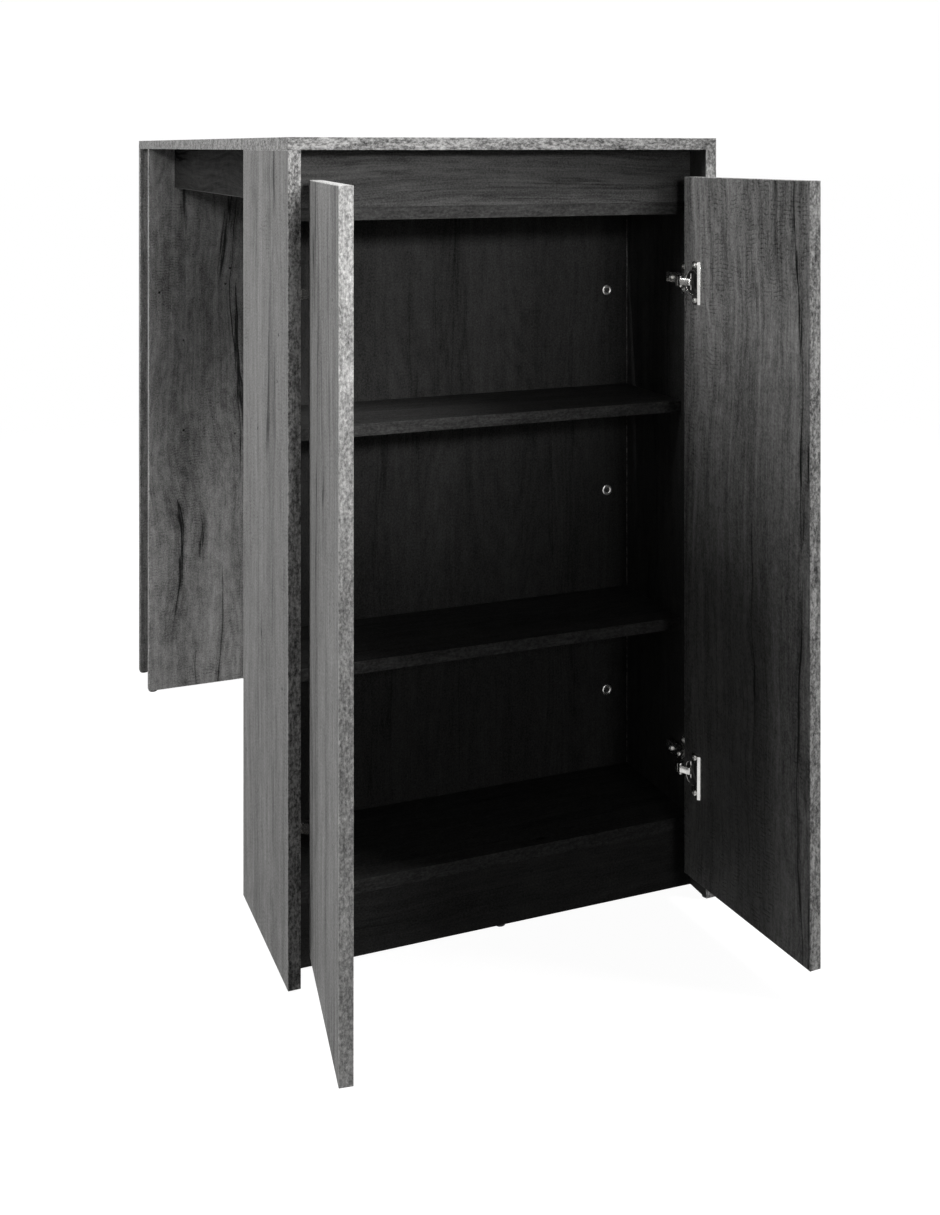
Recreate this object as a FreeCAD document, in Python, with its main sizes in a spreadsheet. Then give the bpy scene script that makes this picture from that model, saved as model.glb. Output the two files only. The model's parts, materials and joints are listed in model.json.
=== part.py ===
import FreeCAD, Part
import Sketcher
import os

# Bar table with a two-door cabinet under one end and a double-board leg under the other.
# X runs across the table, Y along it from the doors to the leg, and Z up from the floor.
# The origin is on the floor at the middle of the plinth board.

os.makedirs("parts", exist_ok=True)
doc = FreeCAD.newDocument("bar_table")

# Driving dimensions in millimetres and degrees

SIZES = {
    # table
    "top_length": 1240,
    "top_width": 600,
    "table_height": 1050,
    "board": 16,
    "cabinet_depth": 260,
    "leg_depth": 130,
    "front_recess": 45,
    "rail_height": 74,
    "rail_inset": 48,
    # cabinet levels
    "bottom_board_top": 100,
    "lower_compartment": 254,
    "upper_compartment": 266,
    "shelf_recess": 72,
    "shelf_clearance": 0.5,
    # doors
    "door_board": 16,
    "door_bottom": 40,
    "door_finger_gap": 37,
    "door_setback": 2,
    "door_side_gap": 1.5,
    "door_middle_gap": 2,
    "left_door_angle": 98,
    "right_door_angle": 94,
    # turning centre of a door, from the side panel's inner face and front edge
    "pivot_from_wall": 11.3,
    "pivot_from_front": 1.75,
    "hinge_from_door_end": 144,
    # hinge cup
    "cup_bore": 35,
    "cup_bore_depth": 12.4,
    "cup_edge": 4,
    "cup_fit": 0.2,
    "cup_depth": 12,
    "cup_wall": 1,
    "flange_thickness": 1.2,
    "flange_height": 59,
    "flange_far": 19.6,
    "flange_near": 1,
    "flange_corner": 4,
    "cup_pin": 2.4,
    "cup_pin_offset": 12.7,
    "cup_pin_depth": 5.1,
    "cup_screw_pitch": 48,
    "cup_screw_offset": 6,
    # hinge arm and its pin
    "arm_width": 14,
    "arm_sheet": 1.4,
    "arm_low": 5.8,
    "arm_high": 12.6,
    "arm_rear": 93,
    "arm_bend_rear": 44,
    "arm_bend_front": 22,
    "arm_neck_from_wall": 22,
    "arm_neck_from_front": 24,
    "arm_web_end": 15.5,
    "arm_pin_from_wall": 33.8,
    "arm_pin_from_front": 10.3,
    "arm_ear": 2.6,
    "pin_diameter": 2.6,
    "pin_fit": 0.08,
    # hinge link
    "link_reach": 15.5,
    "link_hook": 5.2,
    "link_eye": 2.4,
    "link_bar": 2.4,
    "link_width": 9.2,
    "link_closed_angle": 183,
    "link_turn_share": 0.65,
    # mounting plate
    "plate_centre": 60,
    "plate_wing_length": 14,
    "plate_wing_span": 46,
    "plate_wing_thickness": 2,
    "plate_block_front": 46,
    "plate_block_rear": 89,
    "plate_block_clearance": 0.3,
    "plate_screw_pitch": 32,
    "arm_fixing_screw": 78,
    # screw heads of the hinges
    "screw_head": 7,
    "screw_head_height": 2,
    # cam fittings
    "cam_bore": 15,
    "cam_bore_depth": 12.5,
    "cam_fit": 0.1,
    "cam_height": 12.2,
    "cam_setback": 34,
    "cam_slot_length": 8,
    "cam_slot_width": 1.6,
    "cam_slot_depth": 2,
    "cam_above_bottom_board": 115,
    "cam_below_ceiling_board": 139,
    # shelf supports
    "support_pin": 5,
    "support_pin_length": 8,
    "support_pin_fit": 0.1,
    "support_hole_overrun": 0.5,
    "support_tab_length": 10,
    "support_tab_width": 12,
    "support_tab_thickness": 2,
    "support_margin": 32,
    # floor glides
    "glide_height": 3,
    "glide_diameter": 14,
    "glide_inset": 12,
    "leg_glide_inset": 9,
}

sheet = doc.addObject("Spreadsheet::Sheet", "Sizes")
for row, (alias, size) in enumerate(SIZES.items(), start=1):
    sheet.set(f"A{row}", alias)
    sheet.set(f"B{row}", str(size))
    sheet.setAlias(f"B{row}", alias)
doc.recompute()


def value(expression):
    """The number that an expression of sheet values gives."""
    return float(sheet.evalExpression(expression))


# Places that several pieces share, worked out from the sheet

FRONT = "(-Sizes.front_recess - Sizes.board / 2)"
REAR = f"({FRONT} + Sizes.top_length)"
LEFT = "(-Sizes.top_width / 2)"
RIGHT = "(Sizes.top_width / 2)"
INNER_WIDTH = "(Sizes.top_width - 2 * Sizes.board)"
LEFT_WALL = f"(-{INNER_WIDTH} / 2)"
RIGHT_WALL = f"({INNER_WIDTH} / 2)"
CABINET_REAR = f"({FRONT} + Sizes.cabinet_depth)"
BACK_FACE = f"({CABINET_REAR} - Sizes.board)"
RECESS_FACE = f"({FRONT} + Sizes.front_recess)"
LEG_FRONT = f"({REAR} - Sizes.leg_depth)"
FOOT = "(Sizes.glide_height)"
UNDERSIDE = "(Sizes.table_height - Sizes.board)"
PANEL_HEIGHT = f"({UNDERSIDE} - {FOOT})"
CEILING_TOP = f"({UNDERSIDE} - Sizes.rail_height)"
INNER_DEPTH = f"({BACK_FACE} - {RECESS_FACE})"
LEG_GAP = "(Sizes.leg_depth - 2 * Sizes.board)"
DOOR_WIDTH = f"(({INNER_WIDTH} - 2 * Sizes.door_side_gap - Sizes.door_middle_gap) / 2)"
DOOR_TOP = f"({UNDERSIDE} - Sizes.door_finger_gap)"
DOOR_HEIGHT = f"({DOOR_TOP} - Sizes.door_bottom)"

# For a direction: the origin plane square to it, the two axes in that plane, and whether
# the plane's normal points along the direction
PLANES = {
    "x": ("YZ_Plane", "y", "z", True),
    "y": ("XZ_Plane", "x", "z", False),
    "z": ("XY_Plane", "x", "y", True),
}
nodes = {}


def part_of(place, axis):
    """The entry of a place or size for one of the letters x, y and z."""
    return dict(zip("xyz", place))[axis]


def along_normal(direction):
    """Whether the plane square to a direction has its normal along it."""
    return PLANES[direction][-1]


# Sketches

def new_sketch(body, name, direction, level="0"):
    """A sketch square to a direction, at a level along it, in the body's own frame."""
    role, _, _, along = PLANES[direction]
    plane = next(item for item in body.Origin.OriginFeatures if item.Role == role)
    sketch = body.newObject("Sketcher::SketchObject", name)
    sketch.AttachmentSupport = (plane, [""])
    sketch.MapMode = "FlatFace"
    offset = level if along else f"-({level})"
    sketch.setExpression("AttachmentOffset.Base.z", offset)
    return sketch


def bind(sketch, kind, expression, *places):
    """A named driving constraint that follows an expression."""
    index = sketch.addConstraint(Sketcher.Constraint(kind, *places, value(expression)))
    sketch.setExpression(f"Constraints[{index}]", expression)


def place_point(sketch, edge, end, x_expression, y_expression):
    """Holds a point of an edge at two distances from the sketch's origin."""
    for kind, expression in (("DistanceX", x_expression), ("DistanceY", y_expression)):
        bind(sketch, kind, expression, -1, 1, edge, end)


def add_polygon(sketch, points):
    """A closed outline through points given as pairs of expressions."""
    at = [FreeCAD.Vector(value(x), value(y), 0) for x, y in points]
    count = len(points)
    first = sketch.GeometryCount
    for index in range(count):
        sketch.addGeometry(Part.LineSegment(at[index], at[(index + 1) % count]))
    for index in range(count):
        following = first + (index + 1) % count
        sketch.addConstraint(Sketcher.Constraint("Coincident", first + index, 2, following, 1))
        place_point(sketch, first + index, 1, *points[index])


def add_circles(sketch, centres, diameter):
    """Circles of one diameter at centres given as pairs of expressions."""
    for x, y in centres:
        circle = Part.Circle(FreeCAD.Vector(value(x), value(y), 0),
                             FreeCAD.Vector(0, 0, 1), value(diameter) / 2)
        edge = sketch.addGeometry(circle)
        place_point(sketch, edge, 3, x, y)
        bind(sketch, "Diameter", diameter, edge)


# Features

def new_body(name):
    body = doc.addObject("PartDesign::Body", name)
    body.Label = name
    nodes[name] = body
    return body


def pad(body, sketch, direction, length, forward=True, middle=False):
    """Pads a sketch along its direction, against it, or to both sides alike."""
    feature = body.newObject("PartDesign::Pad", sketch.Name + "_pad")
    feature.Profile = sketch
    feature.setExpression("Length", length)
    feature.Midplane = middle
    feature.Reversed = not middle and along_normal(direction) != forward
    sketch.Visibility = False
    body.Tip = feature
    return feature


def pocket(body, sketch, direction, depth, forward, middle=False):
    """Cuts a sketch along its direction when forward, and against it otherwise."""
    feature = body.newObject("PartDesign::Pocket", sketch.Name + "_pocket")
    feature.Profile = sketch
    feature.setExpression("Length", depth)
    feature.Midplane = middle
    feature.Reversed = not middle and along_normal(direction) == forward
    sketch.Visibility = False
    body.Tip = feature
    return feature


# Boards, each sketched on its broad face and padded through its thickness

board_frames = {}


def add_board(name, direction, corner, size):
    """A board square to a direction, from its lowest corner and its three sizes."""
    body = new_body(name)
    _, across, up, _ = PLANES[direction]
    sketch = new_sketch(body, name + "_outline", direction)
    x, y = part_of(size, across), part_of(size, up)
    add_polygon(sketch, [("0", "0"), (x, "0"), (x, y), ("0", y)])
    pad(body, sketch, direction, part_of(size, direction))
    for axis, expression in zip("xyz", corner):
        body.setExpression(f"Placement.Base.{axis}", expression)
    board_frames[name] = corner
    return body


drillings = {}


def drill(board, direction, level, forward, diameter, depth, place):
    """Notes a blind hole in a board. Level and place are world expressions, the place's
    entry for the drilling direction being unused."""
    _, across, up, _ = PLANES[direction]
    key = (board, direction, level, forward, diameter, depth)
    drillings.setdefault(key, []).append((part_of(place, across), part_of(place, up)))


def cut_drillings():
    """One sketch and one pocket for the like holes of a board."""
    for number, (key, centres) in enumerate(drillings.items(), start=1):
        board, direction, level, forward, diameter, depth = key
        corner = board_frames[board]
        _, across, up, _ = PLANES[direction]
        local_level = f"({level}) - ({part_of(corner, direction)})"
        left, low = part_of(corner, across), part_of(corner, up)
        local = [(f"({x}) - ({left})", f"({y}) - ({low})") for x, y in centres]
        sketch = new_sketch(nodes[board], f"{board}_drilling_{number}", direction, local_level)
        add_circles(sketch, local, diameter)
        pocket(nodes[board], sketch, direction, depth, forward)


add_board("table_top", "z", (LEFT, FRONT, UNDERSIDE),
          ("Sizes.top_width", "Sizes.top_length", "Sizes.board"))
for side, edge in (("left", LEFT), ("right", RIGHT_WALL)):
    add_board(f"{side}_side_panel", "x", (edge, FRONT, FOOT),
              ("Sizes.board", "Sizes.cabinet_depth", PANEL_HEIGHT))
add_board("back_panel", "y", (LEFT_WALL, BACK_FACE, FOOT),
          (INNER_WIDTH, "Sizes.board", PANEL_HEIGHT))
for name, top in (("ceiling_board", CEILING_TOP), ("bottom_board", "Sizes.bottom_board_top")):
    add_board(name, "z", (LEFT_WALL, RECESS_FACE, f"({top} - Sizes.board)"),
              (INNER_WIDTH, INNER_DEPTH, "Sizes.board"))
SHELF_FRONT = f"({FRONT} + Sizes.shelf_recess)"
SHELF_DEPTH = f"({BACK_FACE} - {SHELF_FRONT} - Sizes.shelf_clearance)"
SHELF_UNDERSIDES = {
    "upper": f"({CEILING_TOP} - 2 * Sizes.board - Sizes.upper_compartment)",
    "lower": "(Sizes.bottom_board_top + Sizes.lower_compartment)",
}
for level, underside in SHELF_UNDERSIDES.items():
    add_board(f"{level}_shelf", "z",
              (f"({LEFT_WALL} + Sizes.shelf_clearance)", SHELF_FRONT, underside),
              (f"({INNER_WIDTH} - 2 * Sizes.shelf_clearance)", SHELF_DEPTH, "Sizes.board"))
add_board("plinth_board", "y", (LEFT_WALL, RECESS_FACE, FOOT),
          (INNER_WIDTH, "Sizes.board", f"(Sizes.bottom_board_top - Sizes.board - {FOOT})"))
add_board("front_rail", "y", (LEFT_WALL, RECESS_FACE, CEILING_TOP),
          (INNER_WIDTH, "Sizes.board", "Sizes.rail_height"))
LEFT_RAIL_FACE = f"({LEFT} + Sizes.rail_inset)"
RIGHT_RAIL_FACE = f"({RIGHT} - Sizes.rail_inset)"
for side, edge in (("left", LEFT_RAIL_FACE), ("right", f"({RIGHT_RAIL_FACE} - Sizes.board)")):
    add_board(f"{side}_rail", "x", (edge, CABINET_REAR, CEILING_TOP),
              ("Sizes.board", f"({LEG_FRONT} - {CABINET_REAR})", "Sizes.rail_height"))
for name, face in (("leg_inner_panel", LEG_FRONT), ("leg_outer_panel", f"({REAR} - Sizes.board)")):
    add_board(name, "y", (LEFT, face, FOOT), ("Sizes.top_width", "Sizes.board", PANEL_HEIGHT))
add_board("leg_spine", "x", ("(-Sizes.board / 2)", f"({LEG_FRONT} + Sizes.board)", FOOT),
          ("Sizes.board", LEG_GAP, PANEL_HEIGHT))

# Cam locks in the back panel's front face, three along each side panel

CAM_X = f"({RIGHT_WALL} - Sizes.cam_setback)"
cam_places = []
CAM_LOW = "(Sizes.bottom_board_top + Sizes.cam_above_bottom_board)"
CAM_HIGH = f"({CEILING_TOP} - Sizes.cam_below_ceiling_board)"
for sign in (-1, 1):
    for height in (CAM_LOW, f"(({CAM_LOW} + {CAM_HIGH}) / 2)", CAM_HIGH):
        cam_places.append((f"({sign} * {CAM_X})", BACK_FACE, height))
for place in cam_places:
    drill("back_panel", "y", BACK_FACE, True, "Sizes.cam_bore", "Sizes.cam_bore_depth", place)

# Shelf supports: a pin in the side panel with a flat tab under the shelf

SUPPORT_ROWS = (f"({SHELF_FRONT} + Sizes.support_margin)", f"({BACK_FACE} - Sizes.support_margin)")
supports = []
for underside in SHELF_UNDERSIDES.values():
    height = f"({underside} - Sizes.support_tab_thickness / 2)"
    for sign, wall, panel in ((-1, LEFT_WALL, "left_side_panel"),
                              (1, RIGHT_WALL, "right_side_panel")):
        for along in SUPPORT_ROWS:
            place = (wall, along, height)
            supports.append((place, sign))
            drill(panel, "x", wall, sign > 0, "(Sizes.support_pin + 2 * Sizes.support_pin_fit)",
                  "(Sizes.support_pin_length + Sizes.support_hole_overrun)", place)

# Hinge places. A hinge is drawn in a frame of its own: X away from the side panel's inner
# face, Y inwards from the panel's front edge and Z up from the hinge's middle. The right
# side is the left one turned half round about Y.

HINGE_HEIGHTS = {
    "upper": f"({DOOR_TOP} - Sizes.hinge_from_door_end)",
    "lower": "(Sizes.door_bottom + Sizes.hinge_from_door_end)",
}
SIDES = {"left": (-1, LEFT_WALL), "right": (1, RIGHT_WALL)}

cut_drillings()

# Doors, each drilled for its two cups. A door's own frame has its corner at the hinge
# edge, the outer face and the lower end.

CUP_CENTRE = "(Sizes.cup_edge + Sizes.cup_bore / 2)"
CUP_HEIGHTS = ("(Sizes.hinge_from_door_end)", f"({DOOR_HEIGHT} - Sizes.hinge_from_door_end)")


def add_door(name):
    body = new_body(name)
    outline = new_sketch(body, name + "_outline", "y")
    add_polygon(outline, [("0", "0"), (DOOR_WIDTH, "0"), (DOOR_WIDTH, DOOR_HEIGHT),
                          ("0", DOOR_HEIGHT)])
    pad(body, outline, "y", "Sizes.door_board")
    cups = new_sketch(body, name + "_cup_bores", "y", "Sizes.door_board")
    add_circles(cups, [(CUP_CENTRE, height) for height in CUP_HEIGHTS], "Sizes.cup_bore")
    pocket(body, cups, "y", "Sizes.cup_bore_depth", False)
    return body


# Hinge cup, with its place at the cup's centre on the door's inner face. Its pin crosses
# the cup near the door's edge, where the link hooks round it.

CUP_OUTER = "(Sizes.cup_bore - Sizes.cup_fit)"
CUP_INNER = f"({CUP_OUTER} - 2 * Sizes.cup_wall)"


def cup_master():
    name = "hinge_cup"
    body = doc.addObject("PartDesign::Body", name + "_master")
    flange = new_sketch(body, name + "_flange", "y")
    low, high = "(-Sizes.flange_height / 2)", "(Sizes.flange_height / 2)"
    near, far = "(-Sizes.flange_near)", "Sizes.flange_far"
    cut = "Sizes.flange_corner"
    add_polygon(flange, [
        (near, f"({low} + {cut})"), (f"({near} + {cut})", low), (f"({far} - {cut} / 2)", low),
        (far, f"({low} + {cut} / 2)"), (far, f"({high} - {cut} / 2)"),
        (f"({far} - {cut} / 2)", high), (f"({near} + {cut})", high), (near, f"({high} - {cut})")])
    pad(body, flange, "y", "Sizes.flange_thickness")
    drum = new_sketch(body, name + "_drum", "y")
    add_circles(drum, [("0", "0")], CUP_OUTER)
    pad(body, drum, "y", "Sizes.cup_depth", forward=False)
    hollow = new_sketch(body, name + "_hollow", "y", "Sizes.flange_thickness")
    add_circles(hollow, [("0", "0")], CUP_INNER)
    depth = "(Sizes.flange_thickness + Sizes.cup_depth - Sizes.cup_wall)"
    pocket(body, hollow, "y", depth, False)
    pin = new_sketch(body, name + "_pin", "z")
    add_circles(pin, [("-Sizes.cup_pin_offset", "-Sizes.cup_pin_depth")], "Sizes.cup_pin")
    far_side = "(Sizes.cup_pin_offset + Sizes.cup_pin / 2)"
    span = f"(2 * sqrt((Sizes.cup_bore / 2 - Sizes.cup_fit) ^ 2 - {far_side} ^ 2))"
    pad(body, pin, "z", span, middle=True)
    return body


# Hinge arm: a pressed channel, open towards the side panel, that lies over the mounting
# plate and cranks forward into the cup, where a pin is riveted through its two ears

ARM_PIN = ("Sizes.arm_pin_from_wall", "Sizes.arm_pin_from_front")


def add_arm(name):
    body = new_body(name)
    pin_x, pin_y = ARM_PIN
    ear_out, ear_in = f"({pin_x} + Sizes.arm_ear)", f"({pin_x} - Sizes.arm_ear)"
    ear_end = f"({pin_y} - Sizes.arm_ear)"
    chamfer = "Sizes.arm_ear / 2"
    outline = new_sketch(body, name + "_outline", "z")
    add_polygon(outline, [
        ("Sizes.arm_low", "Sizes.arm_rear"),
        ("Sizes.arm_low", "(Sizes.arm_neck_from_front + Sizes.arm_neck_from_wall"
                          " - Sizes.arm_low)"),
        ("Sizes.arm_neck_from_wall", "Sizes.arm_neck_from_front"),
        (ear_in, "Sizes.arm_web_end"),
        (ear_in, f"({ear_end} + {chamfer})"), (f"({ear_in} + {chamfer})", ear_end),
        (f"({ear_out} - {chamfer})", ear_end), (ear_out, f"({ear_end} + {chamfer})"),
        (ear_out, "Sizes.arm_bend_front"),
        ("Sizes.arm_high", "Sizes.arm_bend_rear"),
        ("Sizes.arm_high", "Sizes.arm_rear")])
    pad(body, outline, "z", "Sizes.arm_width", middle=True)
    inside = new_sketch(body, name + "_inside", "z")
    beyond = "(Sizes.arm_rear + Sizes.arm_sheet)"
    web = "(Sizes.arm_high - Sizes.arm_sheet)"
    crank = f"({ear_out} - Sizes.arm_sheet)"
    add_polygon(inside, [
        ("0", beyond), ("0", "0"), (f"({ear_out} + Sizes.arm_sheet)", "0"),
        (f"({ear_out} + Sizes.arm_sheet)", "Sizes.arm_web_end"), (crank, "Sizes.arm_web_end"),
        (crank, "(Sizes.arm_bend_front - Sizes.arm_sheet)"),
        (web, "(Sizes.arm_bend_rear - Sizes.arm_sheet)"), (web, beyond)])
    pocket(body, inside, "z", "(Sizes.arm_width - 2 * Sizes.arm_sheet)", True, middle=True)
    pin = new_sketch(body, name + "_pin", "z")
    add_circles(pin, [ARM_PIN], "Sizes.pin_diameter")
    pad(body, pin, "z", "Sizes.arm_width", middle=True)
    return body


# Mounting plate: two wings on the side panel and a block that fills the arm's channel

PLATE_TOP = "(Sizes.arm_high - Sizes.arm_sheet)"


def add_plate(name):
    body = new_body(name)
    wings = new_sketch(body, name + "_wings", "x")
    near = "(Sizes.plate_centre - Sizes.plate_wing_length / 2)"
    far = "(Sizes.plate_centre + Sizes.plate_wing_length / 2)"
    low, high = "(-Sizes.plate_wing_span / 2)", "(Sizes.plate_wing_span / 2)"
    add_polygon(wings, [(near, low), (far, low), (far, high), (near, high)])
    pad(body, wings, "x", "Sizes.plate_wing_thickness")
    block = new_sketch(body, name + "_block", "x")
    half = "(Sizes.arm_width / 2 - Sizes.arm_sheet - Sizes.plate_block_clearance)"
    add_polygon(block, [("Sizes.plate_block_front", f"-{half}"),
                        ("Sizes.plate_block_rear", f"-{half}"),
                        ("Sizes.plate_block_rear", half), ("Sizes.plate_block_front", half)])
    pad(body, block, "x", PLATE_TOP)
    return body


# Hinge link: an eye on the arm's pin and a bar that reaches into the cup and hooks round
# the cup's pin. It is drawn with the arm's pin at its origin and the bar along X.

def add_link(name):
    body = new_body(name)
    outline = new_sketch(body, name + "_outline", "z")
    half, eye = "(Sizes.link_bar / 2)", "Sizes.link_eye"
    reach, hook = "Sizes.link_reach", "Sizes.link_hook"
    inner, chamfer = f"({reach} - 2 * {half})", f"({half} / 2)"
    add_polygon(outline, [
        (f"-{eye}", f"-{eye} / 2"), (f"-{eye} / 2", f"-{eye}"), (f"({eye} / 2)", f"-{eye}"),
        (f"({eye} + {half})", f"-{half}"), (inner, f"-{half}"),
        (inner, f"({chamfer} - {hook})"), (f"({inner} + {chamfer})", f"-{hook}"),
        (f"({reach} - {chamfer})", f"-{hook}"), (reach, f"({chamfer} - {hook})"),
        (reach, "0"), (f"({reach} - {half})", half), (f"({eye} + {half})", half),
        (f"({eye} / 2)", eye), (f"-{eye} / 2", eye), (f"-{eye}", f"{eye} / 2")])
    pad(body, outline, "z", "Sizes.link_width", middle=True)
    hole = new_sketch(body, name + "_hole", "z")
    add_circles(hole, [("0", "0")], "(Sizes.pin_diameter + 2 * Sizes.pin_fit)")
    pocket(body, hole, "z", "(2 * Sizes.link_width)", True, middle=True)
    return body


# Small hardware, each drawn once and copied to its places. These masters are no nodes.

def disc_master(name, diameter, height):
    """A round piece that stands on its face at zero along +Z."""
    body = doc.addObject("PartDesign::Body", name)
    sketch = new_sketch(body, name + "_outline", "z")
    add_circles(sketch, [("0", "0")], diameter)
    pad(body, sketch, "z", height)
    return body


def cam_master():
    """A cam lock with its face at zero, its body below and a screwdriver slot in the face."""
    body = doc.addObject("PartDesign::Body", "cam_master")
    drum = new_sketch(body, "cam_drum", "z")
    add_circles(drum, [("0", "0")], "(Sizes.cam_bore - 2 * Sizes.cam_fit)")
    pad(body, drum, "z", "Sizes.cam_height", forward=False)
    slot = new_sketch(body, "cam_slot", "z")
    long, wide = "(Sizes.cam_slot_length / 2)", "(Sizes.cam_slot_width / 2)"
    add_polygon(slot, [(f"-{long}", f"-{wide}"), (long, f"-{wide}"), (long, wide),
                       (f"-{long}", wide)])
    pocket(body, slot, "z", "Sizes.cam_slot_depth", False)
    return body


def support_master():
    """A shelf support with its pin along +X from the wall's face and its tab along -X."""
    body = doc.addObject("PartDesign::Body", "support_master")
    pin = new_sketch(body, "support_pin", "x")
    add_circles(pin, [("0", "0")], "Sizes.support_pin")
    pad(body, pin, "x", "Sizes.support_pin_length")
    tab = new_sketch(body, "support_tab", "x")
    wide, high = "(Sizes.support_tab_width / 2)", "(Sizes.support_tab_thickness / 2)"
    add_polygon(tab, [(f"-{wide}", f"-{high}"), (wide, f"-{high}"), (wide, high),
                      (f"-{wide}", high)])
    pad(body, tab, "x", "Sizes.support_tab_length", forward=False)
    return body


cup = cup_master()
cam = cam_master()
support = support_master()
glide = disc_master("glide_master", "Sizes.glide_diameter", "Sizes.glide_height")
screw_head = disc_master("screw_head_master", "Sizes.screw_head", "Sizes.screw_head_height")

DOOR_NAMES = {side: f"{side}_door" for side in SIDES}
for side in SIDES:
    add_door(DOOR_NAMES[side])
    for level in HINGE_HEIGHTS:
        add_arm(f"{side}_{level}_hinge_arm")
        add_plate(f"{side}_{level}_mounting_plate")
        add_link(f"{side}_{level}_hinge_link")
doc.recompute()

# Placing the doors and hinges

X_AXIS, Y_AXIS, Z_AXIS = (FreeCAD.Vector(1, 0, 0), FreeCAD.Vector(0, 1, 0),
                          FreeCAD.Vector(0, 0, 1))


def moved(x=0, y=0, z=0):
    return FreeCAD.Placement(FreeCAD.Vector(x, y, z), FreeCAD.Rotation())


def turned(angle, axis, centre=FreeCAD.Vector(0, 0, 0)):
    return FreeCAD.Placement(FreeCAD.Vector(0, 0, 0), FreeCAD.Rotation(axis, angle), centre)


def hinge_frame(side, height):
    """The frame of a hinge on one side panel, at a height that is a number."""
    sign, wall = SIDES[side]
    frame = moved(value(wall), value(FRONT), height)
    return frame * turned(180, Y_AXIS) if sign > 0 else frame


PIVOT = FreeCAD.Vector(value("Sizes.pivot_from_wall"), value("Sizes.pivot_from_front"), 0)
PIN_PLACE = FreeCAD.Vector(value(ARM_PIN[0]), value(ARM_PIN[1]), 0)
CUP_PLACE = moved(value(f"(Sizes.door_side_gap + {CUP_CENTRE})"),
                  value("(Sizes.door_setback + Sizes.door_board)"), 0)


def opening(side):
    return value(f"Sizes.{side}_door_angle")


def swung(side):
    """A door's swing from closed, in its hinge frame."""
    return turned(-opening(side), Z_AXIS, PIVOT)


def link_angle(side):
    return value("Sizes.link_closed_angle") + value("Sizes.link_turn_share") * opening(side)


def copies(master, places):
    return [master.Shape.transformed(place.toMatrix(), True) for place in places]


def group_node(name, solids):
    """A node of like separate pieces."""
    node = doc.addObject("Part::Feature", name)
    node.Label = name
    node.Shape = Part.makeCompound(solids)
    nodes[name] = node


QUARTER = 90
door_middle = value(f"(({DOOR_TOP} + Sizes.door_bottom) / 2)")
plate_screws, arm_screws = [], []
for side in SIDES:
    door_corner = moved(value("Sizes.door_side_gap"), value("Sizes.door_setback"),
                        -value(DOOR_HEIGHT) / 2)
    nodes[DOOR_NAMES[side]].Placement = hinge_frame(side, door_middle) * swung(side) * door_corner
    cup_places, cup_screws = [], []
    for level, height in HINGE_HEIGHTS.items():
        frame = hinge_frame(side, value(height))
        cup_frame = frame * swung(side) * CUP_PLACE
        cup_places.append(cup_frame)
        nodes[f"{side}_{level}_hinge_arm"].Placement = frame
        nodes[f"{side}_{level}_mounting_plate"].Placement = frame
        link_turn = turned(link_angle(side), Z_AXIS)
        nodes[f"{side}_{level}_hinge_link"].Placement = frame * moved(*PIN_PLACE) * link_turn
        out_of_wall, out_of_door = turned(QUARTER, Y_AXIS), turned(-QUARTER, X_AXIS)
        arm_screws.append(frame * moved(value("Sizes.arm_high"), value("Sizes.arm_fixing_screw"))
                          * out_of_wall)
        for half in (-0.5, 0.5):
            plate_screws.append(frame * moved(value("Sizes.plate_wing_thickness"),
                                              value("Sizes.plate_centre"),
                                              half * value("Sizes.plate_screw_pitch"))
                                * out_of_wall)
            cup_screws.append(cup_frame * moved(value("Sizes.cup_screw_offset"),
                                                value("Sizes.flange_thickness"),
                                                half * value("Sizes.cup_screw_pitch"))
                              * out_of_door)
    group_node(f"{side}_hinge_cups", copies(cup, cup_places))
    group_node(f"{side}_cup_screws", copies(screw_head, cup_screws))
group_node("plate_screws", copies(screw_head, plate_screws))
group_node("arm_screws", copies(screw_head, arm_screws))

# Placing the cam locks and shelf supports


def vector(place):
    return FreeCAD.Vector(*[value(expression) for expression in place])


def facing(origin, along, normal):
    """A frame with its X along one direction and its Z along another, square to it."""
    rotation = FreeCAD.Rotation(along, normal.cross(along), normal, "XZY")
    return FreeCAD.Placement(origin, rotation)


group_node("cam_locks", copies(cam, [
    facing(vector(place), X_AXIS, -Y_AXIS) for place in cam_places]))

support_places = [facing(vector(place), X_AXIS * sign, Z_AXIS) for place, sign in supports]
group_node("shelf_supports", copies(support, support_places))

# Floor glides under the upright boards

SIDE_MIDDLE = f"({RIGHT} - Sizes.board / 2)"
glide_places = [("0", f"({RECESS_FACE} + Sizes.board / 2)")]
for sign in (-1, 1):
    for along in (f"({FRONT} + Sizes.glide_inset)", f"({CABINET_REAR} - Sizes.glide_inset)"):
        glide_places.append((f"({sign} * {SIDE_MIDDLE})", along))
    for along in (f"({LEG_FRONT} + Sizes.board / 2)", f"({REAR} - Sizes.board / 2)"):
        glide_places.append((f"({sign} * ({RIGHT} - Sizes.leg_glide_inset))", along))
group_node("floor_glides", copies(glide, [
    moved(value(x), value(y)) for x, y in glide_places]))

# Checks and export

doc.recompute()
for item in doc.Objects:
    if "Invalid" in item.State or "Error" in item.State:
        raise RuntimeError(f"{item.Name} failed: {item.State}")
    if item.TypeId == "PartDesign::Pocket":
        removed = item.BaseFeature.Shape.Volume - item.Shape.Volume
        if removed <= 0:
            raise RuntimeError(f"{item.Name} cuts nothing")
for name, node in nodes.items():
    shape = node.Shape
    if shape.isNull() or not shape.isValid() or not shape.Solids:
        raise RuntimeError(f"{name} has no valid solid")
    shape.exportStep(f"parts/{name}.step")
print(len(nodes), "nodes,", sum(len(node.Shape.Solids) for node in nodes.values()), "solids")
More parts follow.
